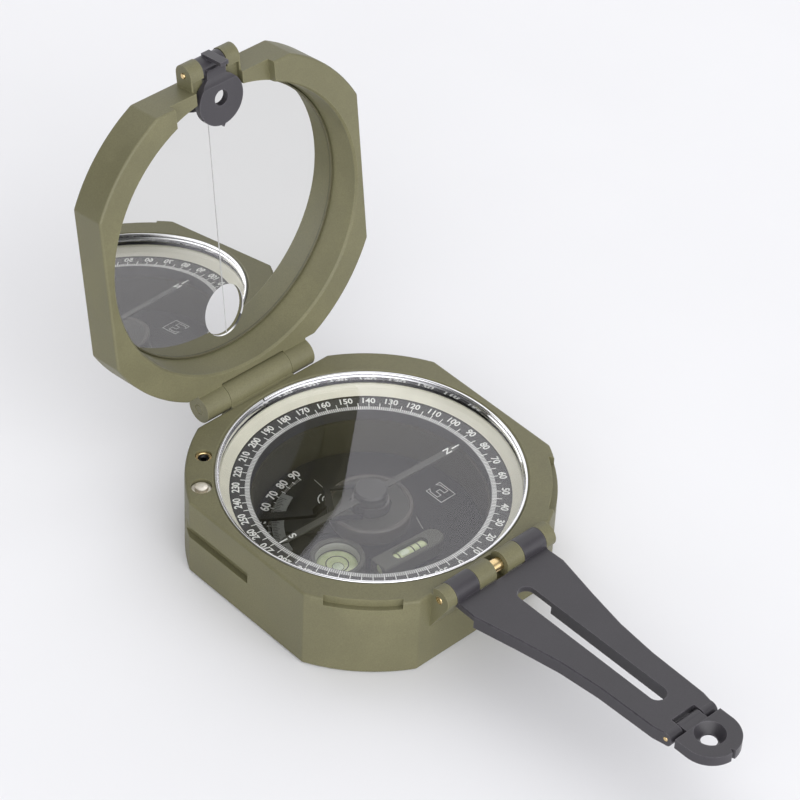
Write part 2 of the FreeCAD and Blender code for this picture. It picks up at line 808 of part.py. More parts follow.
def clinometer_arm():
    """Three flat arms: to the vernier, to the round level and to the tube level."""
    low, high = "arm_plate_floor", "arm_plate_floor + arm_plate_thick"
    hub = cylinder(5.5, "arm_plate_thick", (0, 0, low))
    middle = "vernier_start + vernier_sweep / 2"
    to_vernier = arm_strip(2.6, "vernier_outer - 0.5", middle, low, high)
    to_round = arm_strip(4.2, 16.5, 200.6, low, high)
    to_tube = arm_strip(6.0, "tube_level_offset + 2.6", "tube_level_angle - 90", low, high)
    arm = fuse(hub, to_vernier, to_round, to_tube)
    node("clinometer_arm", cut(arm, cylinder("spindle_radius + 0.01", 4, (0, 0, 3))))


def arm_strip(half_width, reach, angle, low, high):
    strip = box((0, -half_width, low), (reach, half_width, high))
    tail = cylinder(half_width, f"({high}) - ({low})", (0, 0, low))
    return spin(fuse(strip, tail), angle)


def vernier_plate():
    """The pale sector whose outer edge is read against the floor's scale."""
    low = "arm_plate_floor + arm_plate_thick"
    sector = doc.addObject("Part::Cylinder", "Sector")
    bind(sector, Radius="vernier_outer", Height=0.4, Angle="vernier_sweep")
    put(sector, (0, 0, low))
    bore = cylinder("vernier_inner", 2, (0, 0, f"{low} - 1"))
    node("vernier_plate", spin(cut(sector, bore), "vernier_start"))


def round_level():
    x, y = "round_level_x", "round_level_y"
    low = "arm_plate_floor + arm_plate_thick"
    blank = cylinder("round_level_radius", f"round_level_top - ({low})", (x, y, low))
    seat = cylinder("round_vial_radius + 0.02", 9, (x, y, f"{low} + 0.3"))
    bore = cylinder("round_bore_radius", 9, (x, y, "round_vial_top"))
    top = size("round_level_top")
    node("round_level_housing", bevel(cut(blank, seat, bore), 0.3, lambda edge: level(edge, top)))
    body = cylinder("round_vial_radius", f"round_vial_top - ({low}) - 0.6", (x, y, f"{low} + 0.3"))
    dome = cone("round_vial_radius", "round_vial_radius - 0.6", 0.3, (x, y, "round_vial_top - 0.3"))
    node("round_level_vial", fuse(body, dome))


def tube_level():
    """A level vial in a box open on top, square to the vernier's arm."""
    low = "arm_plate_floor + arm_plate_thick"
    start = "tube_level_along - tube_level_length / 2"
    end = "tube_level_along + tube_level_length / 2"
    near = "-tube_level_offset - tube_level_width / 2"
    far = "-tube_level_offset + tube_level_width / 2"
    middle = "tube_level_top - tube_vial_radius - 0.25"
    window_start = "tube_level_along - tube_window_length / 2 + 0.15"
    window_end = "tube_level_along + tube_window_length / 2 + 0.15"
    blank = box((start, near, low), (f"{end} - tube_level_width / 2", far, "tube_level_top"))
    nose = cylinder("tube_level_width / 2", f"tube_level_top - ({low})",
                    (f"{end} - tube_level_width / 2", "-tube_level_offset", low))
    top = size("tube_level_top")
    block = bevel(fuse(blank, nose), 0.3, lambda edge: level(edge, top))
    bore = cylinder("tube_vial_radius + 0.03", f"{window_end} - ({start}) + 1",
                    (f"{start} - 1", "-tube_level_offset", middle), "X")
    window = box((window_start, "-tube_level_offset - tube_window_half", middle),
                 (f"{window_end} - 0.1", "tube_window_half - tube_level_offset", 12))
    mouth = rounded(window, lambda edge: "tube_window_half - 0.1" if edge.BoundBox.ZLength > 1 else None)
    node("tube_level_housing", spin(cut(cut(block, bore), mouth), "tube_level_angle"))
    glass = cylinder("tube_vial_radius", f"{window_end} - ({start}) - 0.2",
                     (f"{start} + 0.15", "-tube_level_offset", middle), "X")
    vial = rounded(glass, lambda edge: "tube_vial_radius * 0.9" if square_to_x(edge) else None)
    node("tube_level_vial", spin(vial, "tube_level_angle"))


def square_to_x(edge):
    """True for an edge that lies in a plane square to X."""
    return edge.BoundBox.XLength < 1e-6


def clinometer_lever():
    """The finger bar under the case that swings the clinometer."""
    half = "clino_lever_width / 2"
    bar = box(("clino_lever_width / 2 - clino_lever_length / 2", f"-{half}", 0.5),
              ("clino_lever_length / 2 - clino_lever_width / 2", half, 1.6))
    ends = [cylinder(half, 1.1, (f"{sign}(clino_lever_length / 2 - clino_lever_width / 2)", 0, 0.5))
            for sign in ("", "-")]
    grip_holes = [cylinder(1.3, 3, (f"{sign}(clino_lever_length / 2 - clino_lever_width / 2)", 0, 0.1))
                  for sign in ("", "-")]
    bore = cylinder("spindle_radius + 0.01", 4, (0, 0, -1))
    node("clinometer_lever", spin(cut(fuse(bar, *ends), bore, *grip_holes), 48.5))


def lever_screw():
    head = cylinder(2.2, 0.42, (0, 0, 0))
    shank = cylinder(0.58, 2, (0, 0, 0.3))
    key_holes = [cylinder(0.35, 1.2, (x, 0, -1)) for x in (-1.3, 1.3)]
    node("lever_screw", cut(fuse(head, shank), *key_holes))


def damping_cup():
    """The copper cup that stills the needle's magnet."""
    wall = cylinder("cup_radius", "cup_rim - cup_floor", (0, 0, "cup_floor"))
    bead = cylinder("cup_bead_radius", 0.9, (0, 0, "cup_rim - 0.9"))
    room = cylinder("cup_radius - cup_wall", 9, (0, 0, "cup_floor + cup_wall"))
    bore = cylinder("pivot_radius + 0.01", 9, (0, 0, "cup_floor - 1"))
    top = size("cup_rim")
    node("damping_cup", bevel(cut(fuse(wall, bead), room, bore), 0.25, lambda edge: level(edge, top)))


def cup_cover():
    """The plate pressed into the cup's mouth, open in the middle for the magnet."""
    node("cup_cover", washer("magnet_radius + 0.5", "cup_radius - cup_wall - 0.01",
                             "cup_rim - 0.75", "cup_rim - 0.35"))


def pivot_post():
    shaft = cylinder("pivot_radius", "11.5 - cup_floor", (0, 0, "cup_floor"))
    point = cone("pivot_radius", 0.05, 2.1, (0, 0, 11.5))
    node("pivot_post", fuse(shaft, point))


# ---------------------------------------------------------------- needle

def compass_needle():
    """A thin bar on a round centre, its ends pointed."""
    start, end = "needle_half_length - 2", "needle_half_length"
    low, high = "needle_floor", "needle_floor + needle_thick"
    bar = plate([("-needle_half_length", "0"),
                 (f"-({start})", "-needle_half_width"), (start, "-needle_half_width"),
                 ("needle_half_length", "0"),
                 (start, "needle_half_width"), (f"-({start})", "needle_half_width")],
                low, "needle_thick")
    disc = cylinder("hub_radius", "needle_thick", (0, 0, low))
    needle = cut(fuse(bar, disc), cylinder(0.85, 2, (0, 0, f"{low} - 1")))
    node("compass_needle", spin(needle, "needle_angle"))


def needle_hub():
    """Carries the bar, with a hollow underneath for the pivot's point."""
    flange = cylinder("hub_radius", "needle_floor - hub_floor", (0, 0, "hub_floor"))
    spigot = cylinder(0.82, "needle_thick + 0.3", (0, 0, "needle_floor - 0.3"))
    hollow = cone(0.9, 0.1, 1.0, (0, 0, "hub_floor"))
    node("needle_hub", cut(fuse(flange, spigot), hollow))


def needle_cap():
    low = "needle_floor + needle_thick"
    disc = cylinder("hub_radius", f"cap_top - ({low})", (0, 0, low))
    top = size("cap_top")
    node("needle_cap", bevel(disc, 0.4, lambda edge: level(edge, top)))


def needle_magnet():
    node("needle_magnet", washer("2 * pivot_radius", "magnet_radius", "magnet_floor", "hub_floor"))


# ---------------------------------------------------------------- hinge pins

def lid_hinge_pin():
    pin = rod("lid_pin_radius", "-lid_knuckle_end", "lid_knuckle_end", "lid_hinge_y", "lid_hinge_z")
    ends = [size("lid_knuckle_end"), -size("lid_knuckle_end")]
    node("lid_hinge_pin", bevel(pin, 0.15, lambda edge: edge.BoundBox.XLength < 1e-6
                                and any(abs(edge.BoundBox.XMin - x) < 1e-6 for x in ends)))


def sight_hinge_pin():
    y, z = "sight_hinge_y", "sight_hinge_z"
    pin = rod("sight_pin_radius", "-lug_end - 0.1", "lug_end + 0.1", y, z)
    ends = [size("lug_end + 0.1"), -size("lug_end + 0.1")]
    node("sight_hinge_pin", bevel(pin, 0.2, lambda edge: edge.BoundBox.XLength < 1e-6
                                  and any(abs(edge.BoundBox.XMin - x) < 1e-6 for x in ends)))
    sleeve = rod("sleeve_radius", "side_gap - ear_inner", "ear_inner - side_gap", y, z)
    bore = rod("sight_pin_radius + 0.02", -5, 5, y, z)
    node("sight_hinge_sleeve", cut(sleeve, bore))


# ---------------------------------------------------------------- sight arm

def arm_outline(start_half, start_y):
    return mirrored([(start_half, start_y),
                     ("arm_root_half", "arm_corner_y"),
                     ("arm_waist_half", "arm_waist_y"),
                     ("arm_neck_half", "arm_neck_y"),
                     ("arm_shank_half", "arm_shank_y"),
                     ("arm_end_half", "arm_end_y"),
                     ("cheek_end", "tip_pin_y")])


def rail_outline():
    return arm_outline("0", "arm_corner_y")[1:-1]


def arm_slot():
    low, high = "arm_top - arm_thick - 1", "arm_top + 1"
    near, far = "slot_start - slot_half", "slot_end + slot_half"
    middle = box(("-slot_half", far, low), ("slot_half", near, high))
    ends = [cylinder("slot_half", "arm_thick + 2", (0, y, low)) for y in (near, far)]
    return [middle] + ends


def sight_arm():
    """A tapering slotted plate with deep rails, thin where the small sight nests in it."""
    y, z = "sight_hinge_y", "sight_hinge_z"
    web = plate(arm_outline("arm_barrel_end - side_gap", "arm_root_y"),
                "arm_top - arm_web", "arm_web")
    clear_of_root = size("arm_root_y") - 0.1
    web = bevel(web, "arm_bevel", lambda edge: level(edge, size("arm_top"))
                and edge.BoundBox.YMin < clear_of_root)
    rails = plate(rail_outline(), "arm_top - arm_thick", "arm_thick - arm_web")
    roots = [box(("arm_barrel_start + side_gap", "arm_root_y", "arm_top - arm_web"),
                 ("arm_barrel_end - side_gap", y, "arm_top")),
             box(("side_gap - arm_barrel_end", "arm_root_y", "arm_top - arm_web"),
                 ("-arm_barrel_start - side_gap", y, "arm_top"))]
    barrels = rods("sight_knuckle_radius", "arm_barrel_start + side_gap",
                   "arm_barrel_end - side_gap", y, z)
    cheeks = rods("cheek_radius", "clevis_half + side_gap", "cheek_end", "tip_pin_y", "tip_pin_z")
    blank = fuse(web, rails, *roots, *barrels, *cheeks)
    nest = box(("-nest_half", "nest_end", "arm_top - arm_thick - 1"),
               ("nest_half", "arm_root_y + 1", "arm_top - arm_web"))
    clevis = box(("-clevis_half - side_gap", "tip_pin_y - 3", "arm_top - arm_thick - 1"),
                 ("clevis_half + side_gap", "clevis_floor", "arm_top + 1"))
    ears = [rod("sight_knuckle_radius + 0.3", "-arm_barrel_start", "arm_barrel_start", y, z)]
    bores = [rod("sight_pin_radius + running_gap", -20, 20, y, z),
             rod("tip_pin_radius + 0.02", -20, 20, "tip_pin_y", "tip_pin_z")]
    node("sight_arm", cut(blank, nest, clevis, *arm_slot(), *ears, *bores))


def arm_tip_pin():
    pin = rod("tip_pin_radius", "-cheek_end - 0.05", "cheek_end + 0.05", "tip_pin_y", "tip_pin_z")
    ends = [size("cheek_end + 0.05"), -size("cheek_end + 0.05")]
    node("arm_tip_pin", bevel(pin, 0.12, lambda edge: edge.BoundBox.XLength < 1e-6
                              and any(abs(edge.BoundBox.XMin - x) < 1e-6 for x in ends)))


def arm_tip():
    """The folding peep at the arm's end, with a coned hole and a sighting notch."""
    low = "arm_top - tip_thick"
    body = box(("-tip_half", "tip_hole_y", low), ("tip_half", "tip_edge", "arm_top"))
    inner_half = box(("-tip_half - 1", "tip_edge", f"{low} - 1"), ("tip_half + 1", "0", 30))
    end = cut(cylinder("tip_half", "tip_thick", (0, "tip_hole_y", low)), inner_half)
    tongue = box(("-clevis_half + side_gap", "tip_edge - 0.1", low),
                 ("clevis_half - side_gap", "tip_pin_y", "arm_top - 0.2"))
    eye = rod("cheek_radius - 0.1", "-clevis_half + side_gap", "clevis_half - side_gap",
              "tip_pin_y", "tip_pin_z")
    dish = cone("tip_hole_radius", "tip_cone_radius", "tip_thick - 0.4",
                (0, "tip_hole_y", "arm_top - tip_thick + 0.4"))
    hole = cylinder("tip_hole_radius", 6, (0, "tip_hole_y", f"{low} - 1"))
    notch = plate([("-0.8", "tip_hole_y - tip_half - 0.5"), ("0.8", "tip_hole_y - tip_half - 0.5"),
                   ("0", "tip_hole_y - tip_half + 1.0")], f"{low} - 1", 6)
    bore = rod("tip_pin_radius + running_gap", -20, 20, "tip_pin_y", "tip_pin_z")
    node("arm_tip", cut(fuse(body, end, tongue, eye), dish, hole, notch, bore))


# ---------------------------------------------------------------- lid

def window_cutter(low, high):
    """The oval hole that is sighted through, above the lid's hinge."""
    oval = doc.addObject("Part::Ellipse", "Oval")
    bind(oval, MajorRadius="window_half_height", MinorRadius="window_half_width")
    oval.Placement.Rotation = FreeCAD.Rotation(Vector(0, 0, 1), 90)
    oval.setExpression("Placement.Base.x", bound("sight_offset"))
    oval.setExpression("Placement.Base.y", bound("window_y"))
    oval.setExpression("Placement.Base.z", bound(low))
    hole = doc.addObject("Part::Extrusion", "Window")
    hole.Base = oval
    hole.DirMode = "Custom"
    hole.Dir = Vector(0, 0, 1)
    hole.Solid = True
    bind(hole, LengthFwd=f"({high}) - ({low})")
    return hole


def lid_knuckles():
    barrels = rods("lid_knuckle_radius", "case_knuckle_end + side_gap", "lid_knuckle_end",
                   "lid_hinge_y", "lid_hinge_z")
    webs = [box(("case_knuckle_end + side_gap", "lid_half_depth - 1.5", "lid_rim"),
                ("lid_knuckle_end", "lid_hinge_y", "lid_hinge_z + lid_knuckle_radius")),
            box(("-lid_knuckle_end", "lid_half_depth - 1.5", "lid_rim"),
                ("-case_knuckle_end - side_gap", "lid_hinge_y",
                 "lid_hinge_z + lid_knuckle_radius"))]
    return barrels + webs


def lid_ears():
    """The two ears beyond the lid's far edge that carry the small sight."""
    y, z = "small_pin_y", "small_pin_z"
    rounds = rods("small_ear_radius", "small_ear_inner", "small_ear_outer", y, z)
    low, high = "small_pin_z - small_ear_radius", "small_pin_z + small_ear_radius"
    blocks = [box(("small_ear_inner", y, low), ("small_ear_outer", "1 - lid_half_depth", high)),
              box(("-small_ear_outer", y, low), ("-small_ear_inner", "1 - lid_half_depth", high))]
    return rounds + blocks


def upper_case():
    blank = eight_sided("case_radius", "case_half_width", "lid_half_depth", "lid_rim", "lid_back")
    shell = rounded(blank, shell_rounds)
    relief = "arm_relief_half"
    spaces = [
        cone("lid_mouth_radius", "lid_wall_radius", "lid_floor - lid_rim", (0, 0, "lid_rim")),
        cone("lid_mouth_radius + 1.4", "lid_mouth_radius - 0.1", 1.5, (0, 0, "lid_rim - 1")),
        rod("lid_knuckle_radius + 0.3", "-case_knuckle_end - side_gap",
            "case_knuckle_end + side_gap", "lid_hinge_y", "lid_hinge_z"),
        rod("lid_pin_radius + running_gap", -20, 20, "lid_hinge_y", "lid_hinge_z"),
        rod("sight_knuckle_radius + 0.3", f"-{relief}", relief, "sight_hinge_y", "sight_hinge_z"),
        rod("small_pin_radius + 0.02", -20, 20, "small_pin_y", "small_pin_z"),
        box((f"-{relief}", "-lid_half_depth - 1", "lid_rim - 1"),
            (relief, "-lid_half_depth + 9", "lid_rim + arm_relief_depth")),
        box(("-disc_radius - 0.4", "disc_y - disc_radius - 0.3", "lid_rim - 1"),
            ("disc_radius + 0.4", "-lid_half_depth + 9", "disc_floor + disc_thick + 0.4")),
        window_cutter("lid_floor - 1", "lid_back + 1"),
    ]
    lid_node("upper_case", cut(fuse(shell, *lid_knuckles(), *lid_ears()), *spaces))


def tilted(thing):
    """Leans a finished piece of the mirror a little about the middle of the mirror's face."""
    lean = FreeCAD.Rotation(Vector(1, 0, 0), size("mirror_tilt"))
    thing.Placement = FreeCAD.Placement(Vector(), lean, Vector(0, 0, size("mirror_front")))
    return thing


def mirror_pieces():
    """The glass, the tapering bed behind it and the thin ring sprung in front of its edge."""
    front = "mirror_front"
    glass = cylinder("mirror_radius", "mirror_thick", (0, 0, front))
    lid_node("mirror", tilted(cut(glass, window_cutter(f"{front} - 1", "lid_floor + 1"))))
    ring = washer("mirror_radius - retainer_section", "mirror_radius",
                  f"{front} - retainer_section", front)
    lid_node("mirror_retaining_ring", tilted(ring))
    bed = cylinder("mirror_radius - 0.3", "lid_floor - mirror_front + 1", (0, 0, f"{front} - 1"))
    room = tilted(plate([("-case_radius", "-case_radius"), ("case_radius", "-case_radius"),
                         ("case_radius", "case_radius"), ("-case_radius", "case_radius")],
                        "lid_rim", "mirror_front - lid_rim + mirror_thick"))
    lid_node("mirror_backing", cut(bed, room, window_cutter(f"{front} - 2", "lid_floor + 1")))


def sight_line():
    """The fine line down the mirror and across its window, soldered at its foot."""
    start = "1 - mirror_radius"
    wire = box(("sight_offset - sight_line_width / 2", start, "mirror_front - 0.12"),
               ("sight_offset + sight_line_width / 2", "window_y + window_half_height - 0.3",
                "mirror_front"))
    foot = cylinder(0.25, 0.12, ("sight_offset", start, "mirror_front - 0.12"))
    lid_node("sight_line", tilted(fuse(wire, foot)))


def small_sight():
    """A pierced disc on a neck that folds down over the mirror."""
    y, z = "small_pin_y", "small_pin_z"
    low, high = "disc_floor", "disc_floor + disc_thick"
    half = "small_ear_inner - side_gap"
    disc = cylinder("disc_radius", "disc_thick", (0, "disc_y", low))
    barrel = rod("small_barrel_radius", f"-({half})", half, y, z)
    neck = box((-2.6, y, low), (2.6, "disc_y - 2", high))
    riser = box((-2.6, f"{y} - 0.6", low), (2.6, f"{y} + 2.2", z))
    nib = plate([("-0.7", "disc_y + disc_radius - 0.3"), ("0.7", "disc_y + disc_radius - 0.3"),
                 ("0", "disc_y + disc_radius + 0.7")], low, "disc_thick")
    tab = box((-1.1, f"{y} - 2.9", 20.35), (1.1, f"{y} - 2.0", z))
    bridge = box((-1.1, f"{y} - 2.9", f"{z} - 0.6"), (1.1, y, f"{z} + 0.6"))
    peep = cylinder("peep_radius", 4, (0, "peep_y", f"{low} - 1"))
    bore = rod("small_pin_radius + running_gap", -20, 20, y, z)
    over_ears = rod("sight_knuckle_radius + 0.3", -7, 7, "sight_hinge_y", "sight_hinge_z")
    blank = fuse(disc, barrel, neck, riser, nib, tab, bridge)
    lid_node("small_sight", cut(blank, peep, bore, over_ears))


def small_sight_pin():
    y, z = "small_pin_y", "small_pin_z"
    pin = rod("small_pin_radius", "-small_ear_outer - 0.25", "small_ear_outer + 0.25", y, z)
    ends = [size("small_ear_outer + 0.25"), -size("small_ear_outer + 0.25")]
    lid_node("small_sight_pin", bevel(pin, 0.15, lambda edge: edge.BoundBox.XLength < 1e-6
                                      and any(abs(edge.BoundBox.XMin - x) < 1e-6 for x in ends)))


def lid_node(label, thing):
    """Names a piece of the lid and swings it open about the lid's hinge."""
    axis = Vector(0, size("lid_hinge_y"), size("lid_hinge_z"))
    swing = FreeCAD.Rotation(Vector(1, 0, 0), -size("lid_angle"))
    thing.Placement = FreeCAD.Placement(Vector(), swing, axis).multiply(thing.Placement)
    return node(label, thing)


# ---------------------------------------------------------------- document

def fill_sheet():
    for row, (alias, value) in enumerate(DIMENSIONS.items(), 1):
        sheet.set(f"A{row}", alias)
        sheet.set(f"B{row}", str(value))
        sheet.setAlias(f"B{row}", alias)
    doc.recompute()


doc = FreeCAD.newDocument("SightingCompass")
sheet = doc.addObject("Spreadsheet::Sheet", "dims")
fill_sheet()

for make in (lower_case, floor_screws, dial_wall_ring, crystal_gasket, crystal, bezel_ring,
             snap_ring, azimuth_ring, declination_pinion, declination_bush, lock_plunger,
             plunger_ring, plunger_spring, lift_lever, lift_lever_pin, base_plate, spindle_bush,
             clinometer_spindle, clinometer_arm, vernier_plate, round_level, tube_level,
             clinometer_lever, lever_screw, damping_cup, cup_cover, pivot_post, compass_needle,
             needle_hub, needle_cap, needle_magnet, lid_hinge_pin, sight_hinge_pin, sight_arm,
             arm_tip_pin, arm_tip, upper_case, mirror_pieces, sight_line, small_sight,
             small_sight_pin):
    make()
doc.recompute()

for thing in doc.Objects:
    if "Invalid" in thing.State or "Error" in thing.State:
        raise ValueError(f"{thing.Name} did not build: {thing.State}")
os.makedirs("parts", exist_ok=True)
for thing in NODES:
    if thing.Shape.isNull() or not thing.Shape.isValid():
        raise ValueError(thing.Label + " has no valid shape")
    thing.Shape.exportStep(f"parts/{thing.Label}.step")
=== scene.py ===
"""Looks for the sighting compass: materials, printed marks, level bubbles, light and camera."""

import math

import bmesh
import bpy
from mathutils import Matrix, Vector


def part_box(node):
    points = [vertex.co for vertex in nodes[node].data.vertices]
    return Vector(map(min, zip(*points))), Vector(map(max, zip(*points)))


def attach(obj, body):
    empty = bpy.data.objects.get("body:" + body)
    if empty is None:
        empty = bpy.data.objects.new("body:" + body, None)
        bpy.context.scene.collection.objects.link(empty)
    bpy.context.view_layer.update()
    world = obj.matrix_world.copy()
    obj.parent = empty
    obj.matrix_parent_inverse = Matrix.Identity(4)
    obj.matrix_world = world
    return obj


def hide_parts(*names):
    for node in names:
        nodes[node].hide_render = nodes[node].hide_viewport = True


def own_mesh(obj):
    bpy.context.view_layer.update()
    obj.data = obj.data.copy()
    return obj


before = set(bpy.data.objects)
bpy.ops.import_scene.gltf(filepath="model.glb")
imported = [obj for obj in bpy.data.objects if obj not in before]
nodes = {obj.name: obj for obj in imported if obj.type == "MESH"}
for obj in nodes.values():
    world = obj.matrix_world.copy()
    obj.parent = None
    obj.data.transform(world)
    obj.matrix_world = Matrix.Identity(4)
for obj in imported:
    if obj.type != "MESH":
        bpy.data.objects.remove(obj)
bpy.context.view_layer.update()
MM = 0.001


# ---------------------------------------------------------------- node trees


def linear(*srgb):
    """A colour picked as 0 to 255 sRGB, in the linear values that shaders use."""
    values = [c / 255 for c in srgb]
    return [c / 12.92 if c <= 0.04045 else ((c + 0.055) / 1.055) ** 2.4 for c in values] + [1.0]


def scaled(colour, amount):
    """The same colour, brighter or darker."""
    return [min(1.0, c * amount) for c in colour[:3]] + [1.0]


class Tree:
    """A node tree with short calls that add and link nodes; values may be numbers or sockets."""

    def __init__(self, tree):
        self.tree = tree
        self.tree.nodes.clear()

    def add(self, kind, inputs=None, **settings):
        made = self.tree.nodes.new(kind)
        for key, value in settings.items():
            setattr(made, key, value)
        for key, value in (inputs or {}).items():
            self.feed(made.inputs[key], value)
        return made

    def feed(self, socket, value):
        if isinstance(value, bpy.types.NodeSocket):
            self.tree.links.new(value, socket)
        else:
            socket.default_value = value

    def math(self, operation, first, second=0.0, clamp=False):
        made = self.add("ShaderNodeMath", {0: first, 1: second}, operation=operation)
        made.use_clamp = clamp
        return made.outputs[0]

    def between(self, value, low, high, to_low=0.0, to_high=1.0):
        """value mapped smoothly from low..high to to_low..to_high."""
        made = self.add("ShaderNodeMapRange", {"Value": value, "From Min": low, "From Max": high,
                                               "To Min": to_low, "To Max": to_high})
        made.interpolation_type = "SMOOTHSTEP"
        return made.outputs[0]

    def blend(self, share, first, second):
        made = self.add("ShaderNodeMix", data_type="RGBA")
        self.feed(made.inputs[0], share)
        self.feed(made.inputs[6], first)
        self.feed(made.inputs[7], second)
        return made.outputs[2]


class Finish(Tree):
    """A material that ends in one Principled shader, with its patterns in the frame's own space."""

    def __init__(self, name):
        self.material = bpy.data.materials.new(name)
        self.material.use_nodes = True
        super().__init__(self.material.node_tree)
        self.place = self.add("ShaderNodeTexCoord").outputs["Object"]

    def noise(self, grain_mm, detail=2.0, roughness=0.5, place=None):
        """Noise whose features are about grain_mm across."""
        return self.add("ShaderNodeTexNoise", {"Vector": place or self.place, "Scale": 1 / (grain_mm * MM),
                                               "Detail": detail, "Roughness": roughness}).outputs[0]

    def stretched(self, x, y, z):
        return self.add("ShaderNodeMapping", {"Vector": self.place, "Scale": (x, y, z)}).outputs[0]

    def edges(self, radius_mm=0.5):
        """Near 1 along sharp edges and 0 on open faces."""
        soft = self.add("ShaderNodeBevel", {"Radius": radius_mm * MM}, samples=4).outputs[0]
        true = self.add("ShaderNodeNewGeometry").outputs["Normal"]
        made = self.add("ShaderNodeVectorMath", {0: soft, 1: true}, operation="DOT_PRODUCT")
        return self.between(made.outputs["Value"], 0.995, 0.88)

    def inside(self, radius_mm, top_mm):
        """1 within a radius of the dial's axis and below a height, and 0 elsewhere."""
        flat = self.stretched(1, 1, 0)
        reach = self.add("ShaderNodeVectorMath", {0: flat}, operation="LENGTH").outputs["Value"]
        high = self.add("ShaderNodeSeparateXYZ", {"Vector": self.place}).outputs["Z"]
        near = self.between(reach, (radius_mm + 0.05) * MM, (radius_mm - 0.05) * MM)
        return self.math("MULTIPLY", near, self.math("LESS_THAN", high, top_mm * MM))

    def bump(self, height, depth_mm):
        inputs = {"Height": height, "Strength": 1.0, "Distance": depth_mm * MM}
        return self.add("ShaderNodeBump", inputs).outputs[0]

    def shader(self, colour, roughness, normal=None, **values):
        inputs = {"Base Color": colour, "Roughness": roughness}
        inputs.update({key.replace("_", " "): value for key, value in values.items()})
        if normal is not None:
            inputs["Normal"] = normal
        return self.add("ShaderNodeBsdfPrincipled", inputs).outputs[0]

    def done(self, shader):
        self.add("ShaderNodeOutputMaterial", {"Surface": shader})
        return self.material


# ---------------------------------------------------------------- finishes


def paint(name, colour, roughness=0.5, grain=0.32, depth=0.022, edge_wear_and_highlight=1.25, uneven=0.07, shaded_well=None):
    """Sprayed paint: a fine grain, faint clouding, and edges painted a little brighter, partly as rubbed wear
    and partly as a painted highlight.

    shaded_well is the radius and the top, in millimetres, of the hollow round the dial's axis whose paint is
    darkened as painted shade.
    """
    f = Finish(name)
    clouds = f.noise(14, 4, 0.6)
    specks = f.noise(grain, 3, 0.65)
    base = f.blend(f.between(clouds, 0.35, 0.65), scaled(colour, 1 - uneven), scaled(colour, 1 + uneven))
    base = f.blend(f.between(specks, 0.42, 0.62, 0.0, 0.3), base, scaled(colour, 0.62))
    base = f.blend(f.between(specks, 0.36, 0.28, 0.0, 0.35), base, scaled(colour, 1.5))
    # edges painted brighter: partly rubbed wear, partly a painted highlight along the edges
    wear_and_highlight_edges = f.math("MULTIPLY", f.edges(), f.between(f.noise(1.6, 4, 0.7), 0.3, 0.6))
    base = f.blend(wear_and_highlight_edges, base, scaled(colour, edge_wear_and_highlight))
    # painted shade: the paint inside the dial well is darkened to 0.3 of its colour
    if shaded_well:
        base = f.blend(f.inside(*shaded_well), base, scaled(colour, 0.3))
    rough = f.between(clouds, 0.3, 0.7, roughness - 0.05, roughness + 0.06)
    height = f.math("ADD", specks, f.math("MULTIPLY", f.noise(grain * 2.6, 2), 0.6))
    return f.done(f.shader(base, rough, f.bump(height, depth), Specular_IOR_Level=0.4))


def metal(name, colour, roughness, brushed=(1, 1, 1), grain=0.5, depth=0.003, stain=0.12, dark=0.55):
    """Bare or plated metal: fine tool marks along one direction and a trace of tarnish."""
    f = Finish(name)
    marks = f.noise(grain, 5, 0.7, f.stretched(*brushed))
    tarnish = f.between(f.noise(3.5, 5, 0.65), 0.45, 0.75, 0.0, stain)
    base = f.blend(tarnish, colour, scaled(colour, dark))
    rough = f.between(marks, 0.25, 0.75, roughness * 0.7, roughness * 1.4)
    return f.done(f.shader(base, rough, f.bump(marks, depth), Metallic=1.0))


def plastic(name, colour, roughness, grain=0.25, depth=0.006, uneven=0.08):
    """Moulded or enamelled surface with a faint grain."""
    f = Finish(name)
    grains = f.noise(grain, 3)
    base = f.blend(f.between(f.noise(5, 4), 0.3, 0.7), scaled(colour, 1 - uneven), scaled(colour, 1 + uneven))
    rough = f.between(grains, 0.3, 0.7, roughness * 0.85, roughness * 1.15)
    return f.done(f.shader(base, rough, f.bump(grains, depth)))


def clear_glass(name, tint, face_on, cloudy=0.012):
    """Flat glass: what is behind shows through, and each face mirrors more at a glancing angle."""
    f = Finish(name)
    facing = f.add("ShaderNodeLayerWeight", {"Blend": 0.5}).outputs["Facing"]
    grazing = f.math("POWER", facing, 5.0)
    share = f.math("ADD", f.math("MULTIPLY", grazing, 1 - face_on), face_on, clamp=True)
    smears = f.between(f.noise(9, 4, 0.6), 0.4, 0.7, cloudy, cloudy * 3)
    through = f.add("ShaderNodeBsdfTransparent", {"Color": tint}).outputs[0]
    mirrored = f.add("ShaderNodeBsdfGlossy", {"Color": (0.97, 0.955, 1.0, 1), "Roughness": smears}).outputs[0]
    return f.done(f.add("ShaderNodeMixShader", {0: share, 1: through, 2: mirrored}).outputs[0])


def liquid(name, colour, deep):
    """A vial's tinted spirit seen through its glass, with a faint painted glow standing in for light shining
    through it.
    """
    f = Finish(name)
    swirl = f.between(f.noise(2.2, 3), 0.3, 0.7)
    base = f.blend(swirl, deep, colour)
    # the faint emission is a painted glow, standing in for light passing through the vial
    return f.done(f.shader(base, f.between(swirl, 0, 1, 0.05, 0.09), Coat_Weight=1.0, Coat_Roughness=0.03,
                           Emission_Color=colour, Emission_Strength=0.06))


